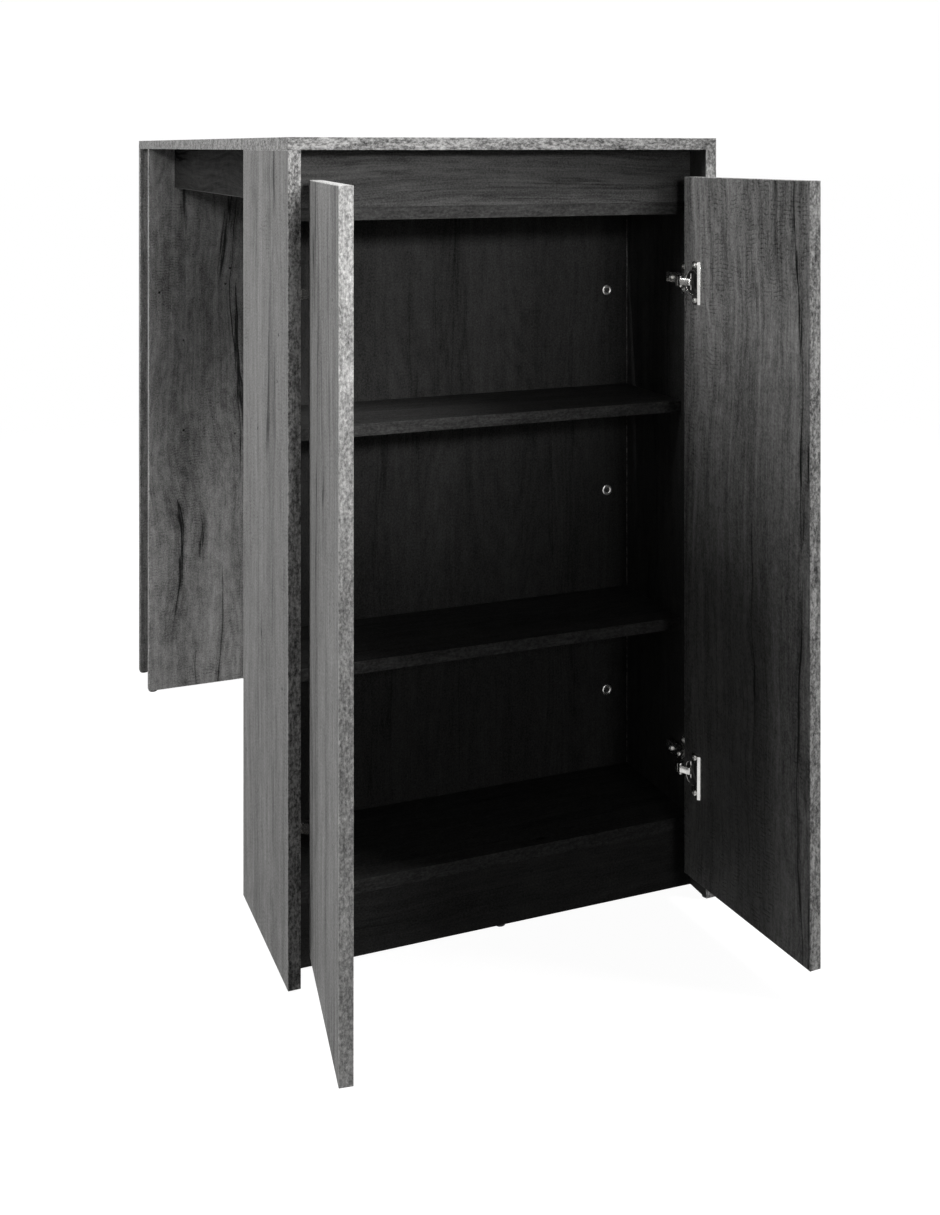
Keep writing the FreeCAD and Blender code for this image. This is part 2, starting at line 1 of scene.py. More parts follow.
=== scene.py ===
import bmesh
import bpy
import json
import math
from mathutils import Matrix, Vector

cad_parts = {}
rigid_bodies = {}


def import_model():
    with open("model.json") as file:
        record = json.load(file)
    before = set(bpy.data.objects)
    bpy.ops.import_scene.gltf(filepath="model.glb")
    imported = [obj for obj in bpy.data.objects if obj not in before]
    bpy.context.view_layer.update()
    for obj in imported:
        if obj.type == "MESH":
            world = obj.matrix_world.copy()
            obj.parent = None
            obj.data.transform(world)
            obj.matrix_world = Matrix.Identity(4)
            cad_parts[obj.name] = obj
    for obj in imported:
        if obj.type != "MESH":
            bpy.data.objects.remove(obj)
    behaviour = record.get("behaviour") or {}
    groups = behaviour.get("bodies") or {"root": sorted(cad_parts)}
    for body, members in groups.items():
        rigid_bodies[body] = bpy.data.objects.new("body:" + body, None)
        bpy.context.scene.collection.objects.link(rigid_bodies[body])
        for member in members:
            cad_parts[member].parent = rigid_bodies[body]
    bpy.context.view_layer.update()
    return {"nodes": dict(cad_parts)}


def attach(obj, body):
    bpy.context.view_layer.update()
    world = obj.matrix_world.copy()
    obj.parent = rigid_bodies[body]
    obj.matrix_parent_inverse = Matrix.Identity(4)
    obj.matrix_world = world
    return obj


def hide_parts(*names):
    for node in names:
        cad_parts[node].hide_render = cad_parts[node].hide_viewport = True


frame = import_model()

# Side panels. Two upright boards carry the cabinet end of the top. Each is 16 mm chipboard
# under grey oak melamine, with a plastic band glued round its edges and trimmed flush.

BAND_SHOWS = 0.001
EASED_CORNER = 0.0004
# how far a line may lie from a board's corner and still be taken for it
CORNER_SLACK = 0.00002
# how a sheet is turned on an upright board that is wide along X, and on one wide along Y
UPRIGHT_ACROSS_X = (0, 0, 0)
UPRIGHT_ACROSS_Y = (0, 0, math.radians(90))
# the print's greys, from a crack's dark to the palest streak, and their slight warmth
PRINT_GREYS = ((0.0, 0.010), (0.25, 0.055), (0.40, 0.135), (0.52, 0.215), (0.70, 0.34), (1.0, 0.52))
BAND_GREYS = ((0.0, 0.035), (0.4, 0.15), (0.62, 0.25), (1.0, 0.42))
WARMTH = (1.0, 0.99, 0.975)
SHEEN = 0.10
# how widely the grain wanders, in metres, and how fast the sines turn that draw rings and ticks
GRAIN_WANDERS = 0.06
RING_TURNS = 170.0
TICK_TURNS = 1150.0


def put(tree, kind, joins=(), **settings):
    """Adds a shader node and joins its sockets to outputs or sets them to values."""
    made = tree.nodes.new("ShaderNode" + kind)
    for name, setting in settings.items():
        setattr(made, name, setting)
    for socket, given in dict(joins).items():
        if isinstance(given, bpy.types.NodeSocket):
            tree.links.new(given, made.inputs[socket])
        else:
            made.inputs[socket].default_value = given
    return made


def reckon(tree, operation, first, second=0.0):
    """One step of arithmetic on outputs or numbers."""
    return put(tree, "Math", {0: first, 1: second}, operation=operation).outputs["Value"]


def mottle(tree, sheet, size, detail=2.0, roughness=0.5, output="Fac"):
    """Soft spots of a size in millimetres across, through and along the grain."""
    drawn = put(tree, "Mapping", {"Vector": sheet, "Scale": [1000 / length for length in size]})
    return put(tree, "TexNoise", {
        "Vector": drawn.outputs["Vector"], "Scale": 1.0, "Detail": detail,
        "Roughness": roughness}).outputs[output]


def ramp(tree, given, low, high, start=0.0, end=1.0, smooth=False):
    """Takes a value from low to high over to start to end, and holds it there."""
    return put(tree, "MapRange", {
        "Value": given, "From Min": low, "From Max": high, "To Min": start, "To Max": end},
        interpolation_type="SMOOTHSTEP" if smooth else "LINEAR").outputs["Result"]


def total(tree, parts):
    """The sum of outputs, each times its weight."""
    added = None
    for output, weight in parts:
        part = reckon(tree, "MULTIPLY", output, weight)
        added = part if added is None else reckon(tree, "ADD", added, part)
    return added


def product(tree, first, *others):
    """The product of outputs and numbers."""
    for other in others:
        first = reckon(tree, "MULTIPLY", first, other)
    return first


def cells(tree, sheet, counts):
    """Scattered points, so many to a metre across, through and along the grain."""
    drawn = put(tree, "Mapping", {"Vector": sheet, "Scale": counts})
    return put(tree, "TexVoronoi", {"Vector": drawn.outputs["Vector"], "Scale": 1.0}).outputs


def new_finish(name):
    """A material with its tree, its shader and the coordinates that its pattern lies on."""
    material = bpy.data.materials.new(name)
    material.use_nodes = True
    tree = material.node_tree
    return material, tree, tree.nodes["Principled BSDF"], put(tree, "TexCoord").outputs["Object"]


def laid(tree, place, turn, start):
    """The sheet of a print, turned along its grain and moved to its start."""
    return put(tree, "Mapping", {
        "Vector": place, "Rotation": turn, "Location": start}).outputs["Vector"]


def greys(tree, value, steps, pale):
    """Takes a value through steps of grey."""
    colours = put(tree, "ValToRGB", {"Fac": value})
    stops = colours.color_ramp.elements
    ends = {0.0: 0, 1.0: -1}
    for position, grey in steps:
        stop = stops[ends[position]] if position in ends else stops.new(position)
        stop.color = [grey * pale * warm for warm in WARMTH] + [1]
    return colours.outputs["Color"]


def coat(tree, shader, colour, roughness, height, strength, distance):
    """Gives a shader its colour, its roughness and the relief of its surface."""
    tree.links.new(colour, shader.inputs["Base Color"])
    tree.links.new(roughness, shader.inputs["Roughness"])
    relief = put(tree, "Bump", {"Height": height, "Strength": strength, "Distance": distance})
    tree.links.new(relief.outputs["Normal"], shader.inputs["Normal"])


def wandering_grain(tree, sheet, waves):
    """The sheet drawn from side to side, as grain passes old branches."""
    wander = mottle(tree, sheet, (150, 500, 330), 2.5, output="Color")
    wander = put(tree, "VectorMath", {0: wander, 1: (0.5, 0.5, 0.5)}, operation="SUBTRACT")
    wander = put(tree, "VectorMath", {
        0: wander.outputs["Vector"], "Scale": GRAIN_WANDERS * waves}, operation="SCALE")
    return put(tree, "VectorMath", {
        0: sheet, 1: wander.outputs["Vector"]}, operation="ADD").outputs["Vector"]


def knots_in(tree, grain):
    """Small knots, and the darker wood about them."""
    found = cells(tree, grain, (9.0, 2.0, 4.2))
    chosen = ramp(tree, found["Color"], 0.60, 0.64)
    return [product(tree, ramp(tree, found["Distance"], near, far, 1.0, 0.0, smooth=True), chosen)
            for near, far in ((0.020, 0.055), (0.0, 0.34))]


def worm_holes(tree, sheet):
    """Pin holes, in groups."""
    holes = cells(tree, sheet, (26, 14, 26))
    return product(tree, ramp(tree, holes["Distance"], 0.035, 0.075, 1.0, 0.0),
                   ramp(tree, holes["Color"], 0.5, 0.54),
                   ramp(tree, mottle(tree, sheet, (110, 200, 170), 1.0), 0.50, 0.54))


def ring_arches(tree, sheet, grain, about_knot):
    """Yearly rings, which show as arches where the log was cut along."""
    arches = total(tree, ((mottle(tree, grain, (120, 260, 800), 1.0, 0.4), 1.0),
                          (about_knot, 0.10)))
    rings = reckon(tree, "SINE", product(tree, arches, RING_TURNS))
    return product(tree, rings, ramp(tree, mottle(tree, sheet, (130, 300, 420)), 0.40, 0.60))


def drying_cracks(tree, grain):
    """Long, nearly straight cracks, and the stain along them."""
    line = reckon(tree, "ABSOLUTE", reckon(
        tree, "SUBTRACT", mottle(tree, grain, (75, 260, 2200), 5.0), 0.5))
    cracked = ramp(tree, mottle(tree, grain, (80, 260, 420)), 0.50, 0.55)
    return [product(tree, ramp(tree, line, near, far, 1.0, 0.0, smooth=soft), cracked)
            for near, far, soft in ((0.001, 0.007, False), (0.0, 0.06, True))]


def chatter(tree, sheet):
    """Short ticks that a planer leaves across the grain, one under another."""
    lengthwise = put(tree, "SeparateXYZ", {0: sheet}).outputs["Z"]
    rows = reckon(tree, "SINE", total(tree, (
        (lengthwise, TICK_TURNS), (mottle(tree, sheet, (30, 60, 60), 1.0), 20.0))))
    here = product(tree, ramp(tree, mottle(tree, sheet, (7, 60, 15), 1.5), 0.47, 0.62),
                   ramp(tree, mottle(tree, sheet, (100, 200, 260)), 0.48, 0.58))
    return product(tree, ramp(tree, rows, 0.0, 0.9), here)


def oak_paper(name, turn, start, pale=1.0, marks=1.0, waves=1.0, lines=1.0):
    """The printed oak of a board's faces, turned so that its grain runs along Z."""
    material, tree, board, place = new_finish(name)
    sheet = laid(tree, place, turn, start)
    grain = wandering_grain(tree, sheet, waves)
    knot, about_knot = knots_in(tree, grain)
    cracks, stain = drying_cracks(tree, grain)
    rings = ring_arches(tree, sheet, grain, about_knot)
    pits = worm_holes(tree, sheet)
    ticks = chatter(tree, sheet)
    tone = mottle(tree, grain, (60, 240, 420), 3.0, 0.6)
    bands = mottle(tree, grain, (13, 60, 520), 3.0, 0.65)
    streaks = mottle(tree, grain, (3.2, 40, 90), 3.0, 0.7)
    cloud = mottle(tree, grain, (11, 40, 22), 4.0, 0.7)
    grit = mottle(tree, sheet, (2.2, 8, 2.8), 2.0, 0.8)
    height = total(tree, ((streaks, 0.6 * lines), (grit, 0.7), (cracks, -1.2 * marks),
                          (cloud, 0.4 * waves), (knot, -0.8), (pits, -0.9),
                          (ticks, -0.5 * marks)))
    shade = total(tree, ((tone, 0.42 * waves), (bands, 0.40 * lines), (cloud, 0.38 * waves),
                         (streaks, 0.42 * lines), (grit, 0.62), (rings, -0.04 * waves),
                         (cracks, -0.42 * marks), (stain, -0.12 * marks), (knot, -0.40),
                         (pits, -0.50 * marks), (about_knot, -0.06), (ticks, -0.10 * marks)))
    # every mottle lies about a half, so half the weights of the soft ones is the shade's middle
    middle = 0.40 * waves + 0.41 * lines + 0.31
    coat(tree, board, greys(tree, ramp(tree, shade, middle - 0.5, middle + 0.5), PRINT_GREYS, pale),
         ramp(tree, shade, middle - 0.4, middle + 0.3, 0.70, 0.50), height, 0.6, 0.0008)
    board.inputs["Specular IOR Level"].default_value = SHEEN * pale
    return material


def edge_band(name, turn, start, pale=1.4, contrast=1.0):
    """The band's print: short speckles that lie along the edge."""
    material, tree, band, place = new_finish(name)
    strip = laid(tree, place, turn, start)
    specks = mottle(tree, strip, (3.0, 3.0, 4.8), 3.0, 0.75)
    patches = mottle(tree, strip, (14, 14, 60), 2.0)
    streaks = mottle(tree, strip, (3, 3, 22), 2.0, 0.6)
    shade = total(tree, ((specks, 1.1), (patches, 0.4), (streaks, 0.4)))
    middle = 0.95
    spread = 0.23 / contrast
    coat(tree, band, greys(tree, ramp(tree, shade, middle - spread, middle + spread), BAND_GREYS, pale),
         ramp(tree, shade, 0.6, 1.4, 0.62, 0.44), specks, 0.4, 0.0004)
    band.inputs["Specular IOR Level"].default_value = SHEEN * pale
    return material


def lay_down():
    """Leaves edit mode and lets go of every piece."""
    if bpy.context.object and bpy.context.object.mode == "EDIT":
        bpy.ops.object.mode_set(mode="OBJECT")
    bpy.ops.object.select_all(action="DESELECT")


def take_up(piece):
    """Goes into edit mode on one piece alone."""
    lay_down()
    piece.select_set(True)
    bpy.context.view_layer.objects.active = piece
    bpy.ops.object.mode_set(mode="EDIT")
    bpy.ops.mesh.select_all(action="SELECT")


def pick(piece, kind, wanted):
    """Selects the edges or faces that a test picks out, in edit mode."""
    bpy.ops.mesh.select_mode(type=kind)
    bpy.ops.mesh.select_all(action="DESELECT")
    work = bmesh.from_edit_mesh(piece.data)
    for item in work.edges if kind == "EDGE" else work.faces:
        if wanted(item):
            item.select_set(True)
    bmesh.update_edit_mesh(piece.data)


def from_solid(node, name):
    """A welded copy of a solid, to be worked on."""
    piece = bpy.data.objects.new(name, frame["nodes"][node].data.copy())
    bpy.context.scene.collection.objects.link(piece)
    piece.data.name = name
    piece.data.materials.clear()
    take_up(piece)
    bpy.ops.mesh.remove_doubles(threshold=0.00001)
    bpy.ops.mesh.dissolve_limited(angle_limit=math.radians(1))
    return piece


def extent(points):
    """The lowest and the highest corner of the box round some points."""
    return [Vector([end(point[axis] for point in points) for axis in range(3)])
            for end in (min, max)]


def along(axis):
    """The direction of an axis."""
    return Vector([float(axis == other) for other in range(3)])


def faced_board(node, paper, band, body="table", swing=0.0):
    """Cuts the band's line round both faces of a board and eases its corners."""
    board = from_solid(node, node + "_faced")
    bpy.ops.object.mode_set(mode="OBJECT")
    board.data.transform(Matrix.Rotation(-swing, 4, "Z"))
    low, high = extent([corner.co for corner in board.data.vertices])
    thin = min(range(3), key=lambda axis: high[axis] - low[axis])
    flat = [axis for axis in range(3) if axis != thin]
    take_up(board)
    for axis in flat:
        for level in (low[axis] + BAND_SHOWS, high[axis] - BAND_SHOWS):
            bpy.ops.mesh.select_all(action="SELECT")
            bpy.ops.mesh.bisect(plane_co=along(axis) * level, plane_no=along(axis))

    def on_outline(edge):
        middle = (edge.verts[0].co + edge.verts[1].co) / 2
        return sum(min(middle[axis] - low[axis], high[axis] - middle[axis]) < CORNER_SLACK
                   for axis in range(3)) > 1

    pick(board, "EDGE", on_outline)
    bpy.ops.mesh.bevel(offset=EASED_CORNER, segments=2, profile=0.5)
    bpy.ops.object.mode_set(mode="OBJECT")
    board.data.materials.append(paper)
    board.data.materials.append(band)
    margin = BAND_SHOWS * 0.9
    for face in board.data.polygons:
        within = all(low[axis] + margin < face.center[axis] < high[axis] - margin for axis in flat)
        face.material_index = 0 if within else 1
    board.data.transform(Matrix.Rotation(swing, 4, "Z"))
    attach(board, body)
    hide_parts(node)
    return board


def paper_side(board, paper, towards):
    """Gives the face of a board that looks one way a paper of its own."""
    board.data.materials.append(paper)
    for face in board.data.polygons:
        if face.material_index == 0 and face.normal.dot(Vector(towards)) > 0.9:
            face.material_index = 2


upright_band = edge_band("upright_edge_band", UPRIGHT_ACROSS_X, (0, 0, 0))
# the side panels' inner faces carry the same print at under a third of its lightness: painted shade
# inside the cabinet
inside_painted_shade_oak = oak_paper("inside_painted_shade_oak", UPRIGHT_ACROSS_Y, (2.7, 1.3, 0.8),
                       pale=0.30, marks=0.2, waves=0.6, lines=0.4)
left_panel_oak = oak_paper("left_panel_oak", UPRIGHT_ACROSS_Y, (0.3, 0.7, 0.2),
                           pale=1.05, marks=0.7, waves=0.6, lines=0.7)
right_panel_oak = oak_paper("right_panel_oak", UPRIGHT_ACROSS_Y, (1.9, 0.1, 3.2))
left_panel = faced_board("left_side_panel", left_panel_oak, upright_band)
paper_side(left_panel, inside_painted_shade_oak, (1, 0, 0))
right_panel = faced_board("right_side_panel", right_panel_oak, upright_band)
paper_side(right_panel, inside_painted_shade_oak, (-1, 0, 0))

# Back panel. The cabinet's back is a full board too, so that the knee side is finished alike.
# Cam locks in its front face draw it against the side panels.

BACK_SHEET_START = (2.2, 0, 1.1)
# the front face inside the cabinet is printed at a fifth of the knee side's lightness: painted shade
back_panel_painted_shade_oak = oak_paper("back_panel_painted_shade_oak", UPRIGHT_ACROSS_X, BACK_SHEET_START,
                           pale=0.21, marks=0.2, waves=0.6, lines=0.35)
back_panel = faced_board("back_panel", back_panel_painted_shade_oak, upright_band)
paper_side(back_panel, oak_paper("knee_side_oak", UPRIGHT_ACROSS_X, BACK_SHEET_START), (0, 1, 0))

# Ceiling and bottom boards, plinth and front rail. They lie between the side panels, bolted
# and dowelled from inside, and their grain runs across the table.

LEVEL_ALONG_X = (0, math.radians(-90), math.radians(90))
CROSS_ALONG_X = (0, math.radians(-90), 0)
# these recessed boards and their band are printed at a fifth to two fifths of the outer boards'
# lightness: painted shade
shaded_band = edge_band("shaded_edge_band", CROSS_ALONG_X, (1, 0, 0), pale=0.26, contrast=0.5)
level_painted_shade_oak = oak_paper("level_painted_shade_oak", LEVEL_ALONG_X, (0.4, 3.0, 0.9),
                      pale=0.18, marks=0.2, waves=0.6, lines=0.5)
for name in ("ceiling_board", "bottom_board"):
    faced_board(name, level_painted_shade_oak, shaded_band)
plinth_painted_shade_oak = oak_paper("plinth_painted_shade_oak", CROSS_ALONG_X, (1.4, 0, 2.9),
                       pale=0.20, marks=0.2, waves=0.6, lines=0.5)
faced_board("plinth_board", plinth_painted_shade_oak, shaded_band)
front_rail_painted_shade_oak = oak_paper("front_rail_painted_shade_oak", CROSS_ALONG_X, (0.9, 1.0, 0.3),
                           pale=0.40, marks=0.3, waves=0.7)
faced_board("front_rail", front_rail_painted_shade_oak, shaded_band)

# Shelves. Two loose boards of the same chipboard divide the cabinet in three. They are banded
# all round and lie on metal supports whose pins are pushed into the side panels.

# the shelves are printed at under a fifth of the outer boards' lightness: painted shade
shelf_painted_shade_oak = oak_paper("shelf_painted_shade_oak", LEVEL_ALONG_X, (1.4, 1.0, 5.9),
                      pale=0.18, marks=0.2, waves=0.6, lines=0.5)
for name in ("lower_shelf", "upper_shelf"):
    faced_board(name, shelf_painted_shade_oak, shaded_band)

# Leg. Two boards of the same chipboard stand across the far end of the top. A third, upright
# between them, holds them apart.

# the inner panel's print is a little darker and the outer panel's a little lighter than the plain
# print: painted shade and painted light
leg_inner_oak = oak_paper("leg_inner_oak", UPRIGHT_ACROSS_X, (5.2, 0, 2.3),
                          pale=0.92, marks=0.9, waves=1.2, lines=0.7)
leg_outer_oak = oak_paper("leg_outer_oak", UPRIGHT_ACROSS_X, (6.1, 2.0, 0.4), pale=1.15)
leg_spine_oak = oak_paper("leg_spine_oak", UPRIGHT_ACROSS_Y, (0.2, 5.0, 0.6))
faced_board("leg_inner_panel", leg_inner_oak, upright_band)
faced_board("leg_outer_panel", leg_outer_oak, upright_band)
faced_board("leg_spine", leg_spine_oak, upright_band)

# Long rails. Two boards on edge under the top tie the cabinet to the leg. They are set in from
# the sides of the top, and their grain runs along the table.

CROSS_ALONG_Y = (math.radians(90), 0, math.radians(90))
# the rails and their bands are printed nearly black: painted shade under the top
long_painted_shade_band = edge_band("long_painted_shade_edge_band", CROSS_ALONG_Y, (0, 0, 0), pale=0.3, contrast=0.5)
rails_painted_shade_oak = oak_paper("rails_painted_shade_oak", CROSS_ALONG_Y, (0.5, 0.3, 1.0), pale=0.1)
for name in ("left_rail", "right_rail"):
    faced_board(name, rails_painted_shade_oak, long_painted_shade_band)

# Table top. One board lies over the cabinet, the rails and the leg, flush with the side panels.
# Its grain runs along the table.

LEVEL_ALONG_Y = (math.radians(90), 0, 0)
# its band is a little darker than the upright boards' band: painted shade against the spot's light on
# the top's front edge
top_band = edge_band("top_edge_band", CROSS_ALONG_X, (0, 0, 0), pale=1.25)
faced_board("table_top", oak_paper("top_oak", LEVEL_ALONG_Y, (0.8, 0.0, 0.5)), top_band)

# Doors. Two boards fill the front, drilled on their inner faces for the hinge cups. Their
# free edges have no handle: fingers pull them from above or below.

DOOR_ANGLES = {"left": 98, "right": 94}
SIGNS = {"left": -1, "right": 1}
# the right door is printed a little darker on both faces, painted shade meant for its inner face; the
# left door's band is much lighter than the right one's, painted light on its free edge
DOOR_PRINTS_AND_PAINTED_SHADE = {"left": {"pale": 1.0, "marks": 0.6, "waves": 0.6, "lines": 0.7},
               "right": {"pale": 0.92, "marks": 1.2, "waves": 1.0, "lines": 1.0}}
DOOR_BAND_PRINTS_AND_PAINTED_LIGHT = {"left": {"pale": 2.2, "contrast": 0.7},
                    "right": {"pale": 1.35, "contrast": 1.0}}
DOOR_SWINGS = {side: math.radians(SIGNS[side] * angle) for side, angle in DOOR_ANGLES.items()}
for side, swing in DOOR_SWINGS.items():
    door_oak = oak_paper(f"{side}_door_oak", (0, 0, -swing), (3.1 + SIGNS[side], 0.4, 1.7),
                         **DOOR_PRINTS_AND_PAINTED_SHADE[side])
    door_band = edge_band(f"{side}_door_band", UPRIGHT_ACROSS_X, (0, 0, SIGNS[side]),
                          **DOOR_BAND_PRINTS_AND_PAINTED_LIGHT[side])
    faced_board(f"{side}_door", door_oak, door_band, f"{side}_door", swing)

# Screws. Cross-headed screws hold the hinges in the boards, and one machine screw clamps each
# hinge arm on its plate. They are zinc plated and their heads are turned with a low crown.

SCREW_HEAD = 0.0035
SCREW_HEIGHT = 0.002
SCREW_CROWN = 0.0011
CROSS_TAPER = 0.6
# how close a face or an edge lies to a level that it is picked by
LEVEL_SLACK = 1e-6


def plated(name, grey, roughness, scratches=1.0):
    """Plated steel: a bright metal with faint clouds, rubs and scratches."""
    material, tree, metal, place = new_finish(name)
    metal.inputs["Metallic"].default_value = 1.0
    clouds = mottle(tree, place, (9, 9, 9), 3.0, 0.6)
    rubs = mottle(tree, place, (0.5, 6, 0.8), 2.0, 0.6)
    shade = total(tree, ((clouds, 0.6), (rubs, 0.4 * scratches)))
    colours = put(tree, "ValToRGB", {"Fac": ramp(tree, shade, 0.3, 0.7)})
    stops = colours.color_ramp.elements
    stops[0].color = (grey * 0.80, grey * 0.79, grey * 0.77, 1)
    stops[1].color = (grey * 1.12, grey * 1.11, grey * 1.08, 1)
    coat(tree, metal, colours.outputs["Color"],
         ramp(tree, shade, 0.3, 0.7, roughness * 1.3, roughness * 0.75), rubs, 0.15, 0.0001)
    return material


def named(name):
    """Names the primitive just added, applies its place and goes on to shape it."""
    piece = bpy.context.object
    piece.name = piece.data.name = name
    bpy.ops.object.transform_apply(location=True, rotation=False, scale=True)
    take_up(piece)
    return piece


def turned_disc(name, radius, low, high, sides=40):
    """A disc about Z between two levels, open in edit mode."""
    lay_down()
    bpy.ops.mesh.primitive_cylinder_add(vertices=sides, radius=radius, depth=high - low,
                                        location=(0, 0, (low + high) / 2))
    return named(name)


def sheet_blank(name, low, high):
    """A rectangular blank between two corners, open in edit mode."""
    lay_down()
    bpy.ops.mesh.primitive_cube_add(size=1, location=(Vector(low) + Vector(high)) / 2,
                                    scale=Vector(high) - Vector(low))
    return named(name)


def top_face(level):
    """The test for faces that look up and lie at a level."""
    return lambda face: (face.normal.z > 0.9
                         and abs(face.calc_center_median().z - level) < LEVEL_SLACK)


def press_cross(piece, level, reach, half_width, depth):
    """Presses a cross-shaped recess into the face at a level."""
    for axis in range(2):
        for place in (-reach, -half_width, half_width, reach):
            pick(piece, "FACE", top_face(level))
            bpy.ops.mesh.bisect(plane_co=along(axis) * place, plane_no=along(axis))

    def in_cross(face):
        x, y = (abs(part) for part in face.calc_center_median().xy)
        return top_face(level)(face) and min(x, y) < half_width and max(x, y) < reach

    pick(piece, "FACE", in_cross)
    bpy.ops.mesh.extrude_region_move(TRANSFORM_OT_translate={"value": (0, 0, -depth)})
    bpy.ops.transform.resize(value=(CROSS_TAPER, CROSS_TAPER, 1),
                             center_override=(0, 0, level - depth))


def round_rim(piece, level, width, segments=3):
    """Rounds the corners that run round a level."""
    pick(piece, "EDGE", lambda edge: all(
        abs(corner.co.z - level) < LEVEL_SLACK for corner in edge.verts))
    bpy.ops.mesh.bevel(offset=width, segments=segments, profile=0.5)


def islands(node):
    """The separate solids of a node, each as its corner points."""
    found = from_solid(node, "found")
    bpy.ops.mesh.separate(type="LOOSE")
    bpy.ops.object.mode_set(mode="OBJECT")
    solids = []
    for part in [found] + [other for other in bpy.context.selected_objects if other != found]:
        solids.append([corner.co.copy() for corner in part.data.vertices])
        bpy.data.objects.remove(part)
    return solids


def faced_along(out):
    """The turn that takes Z to a direction and keeps Y upright."""
    up = Vector((0, 0, 1))
    return Matrix((up.cross(out), up, out)).transposed()


def copies(master, places, name, body, slot, *nodes):
    """Copies a master to its places and joins the copies to one piece."""
    lay_down()
    for place in places:
        copy = master.copy()
        copy.data = master.data.copy()
        copy.data.transform(place)
        bpy.context.scene.collection.objects.link(copy)
        copy.select_set(True)
        bpy.context.view_layer.objects.active = copy
    bpy.ops.object.join()
    joined = bpy.context.object
    joined.name = joined.data.name = name
    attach(joined, body)
    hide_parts(*nodes)
    return joined


def seats(node, out):
    """The place of each solid of a node: Z along out, from the middle of its foot."""
    found = []
    for corners in islands(node):
        low, high = extent(corners)
        middle = (low + high) / 2
        away = out(middle)
        foot = min(corner.dot(away) for corner in corners)
        found.append(Matrix.Translation(middle + away * (foot - middle.dot(away)))
                     @ faced_along(away).to_4x4())
    return found


def finish(piece, finish_material, angle=35):
    """Smooths a shaped piece and gives it its one finish."""
    bpy.ops.object.mode_set(mode="OBJECT")
    bpy.ops.object.shade_smooth_by_angle(angle=math.radians(angle))
    piece.data.materials.clear()
    piece.data.materials.append(finish_material)


def into_cabinet(middle):
    """The direction from the nearer side panel into the cabinet."""
    return Vector((1 if middle.x < 0 else -1, 0, 0))


zinc = plated("zinc_plate", 0.72, 0.30)
screw = turned_disc("screw", SCREW_HEAD, 0, SCREW_HEIGHT)
round_rim(screw, SCREW_HEIGHT, SCREW_CROWN)
press_cross(screw, SCREW_HEIGHT, reach=0.0019, half_width=0.00045, depth=0.0011)
finish(screw, zinc)
for side, swing in DOOR_SWINGS.items():
    out_of_door = Matrix.Rotation(swing, 3, "Z") @ Vector((0, 1, 0))
    copies(screw, seats(f"{side}_cup_screws", lambda middle: out_of_door),
           f"{side}_cup_screw_heads", f"{side}_door", "screw_steel", f"{side}_cup_screws")
for node in ("plate_screws", "arm_screws"):
    copies(screw, seats(node, into_cabinet), node[:-1] + "_heads", "table", "screw_steel", node)
bpy.data.objects.remove(screw)

# Hinge cups. Each is drawn from nickel-plated sheet in one piece with its flange, whose far
# edge is folded up. A pin across the cup near the door's edge holds the link.

CUP_RADIUS = 0.0174
CUP_WALL = 0.001
CUP_DEPTH = 0.012
CUP_FLOOR_ROUND = 0.003
CUP_MOUTH_ROUND = 0.0004
CUP_SIDES = 72
FLANGE = 0.0012
FLANGE_NEAR, FLANGE_FAR, FLANGE_HALF = -0.001, 0.0196, 0.0295
FLANGE_CORNER = 0.0042
PRESSED_CORNER = 0.0003
# the fold along the flange's far edge: its height and thickness, its slope, and how much
# shorter it is than the flange
FOLD = 0.0041
FOLD_SLOPE = 0.003
FOLD_SHORTER = 0.001
# the share of the flange's thickness that the drum reaches, just short of its face
DRUM_SHARE = 0.999
# how close the cut mouth's corners lie to its level and to its circle
MOUTH_LEVEL_SLACK = 3e-6
MOUTH_CIRCLE_SLACK = 1e-5
PIN_RADIUS = 0.0012
PIN_PLACE = Vector((-0.0127, 0, -0.0051))
PIN_HALF = Vector((0, 0.0115, 0))


def add_rod(radius, end, other_end):
    """Adds a rod between two points to the piece in edit mode."""
    bpy.ops.mesh.select_all(action="DESELECT")
    bpy.ops.mesh.primitive_cylinder_add(
        vertices=20, radius=radius, depth=(other_end - end).length, location=(end + other_end) / 2,
        rotation=(other_end - end).to_track_quat("Z", "Y").to_euler())


def cut_with(piece, cutter, operation):
    """Joins a piece with another or cuts it with that one, which is used up."""
    lay_down()
    piece.select_set(True)
    bpy.context.view_layer.objects.active = piece
    shaping = piece.modifiers.new("shaping", "BOOLEAN")
    shaping.operation = operation
    shaping.solver = "EXACT"
    shaping.object = cutter
    bpy.ops.object.modifier_apply(modifier=shaping.name)
    bpy.data.objects.remove(cutter)
    take_up(piece)


def paint_shade_on(piece, wanted):
    """Gives the faces whose middles a test picks out a near-black metal: painted shade."""
    piece.data.materials.append(painted_shade_metal)
    for face in piece.data.polygons:
        if wanted(face.center):
            face.material_index = 1


nickel = plated("nickel_plate", 0.82, 0.24)
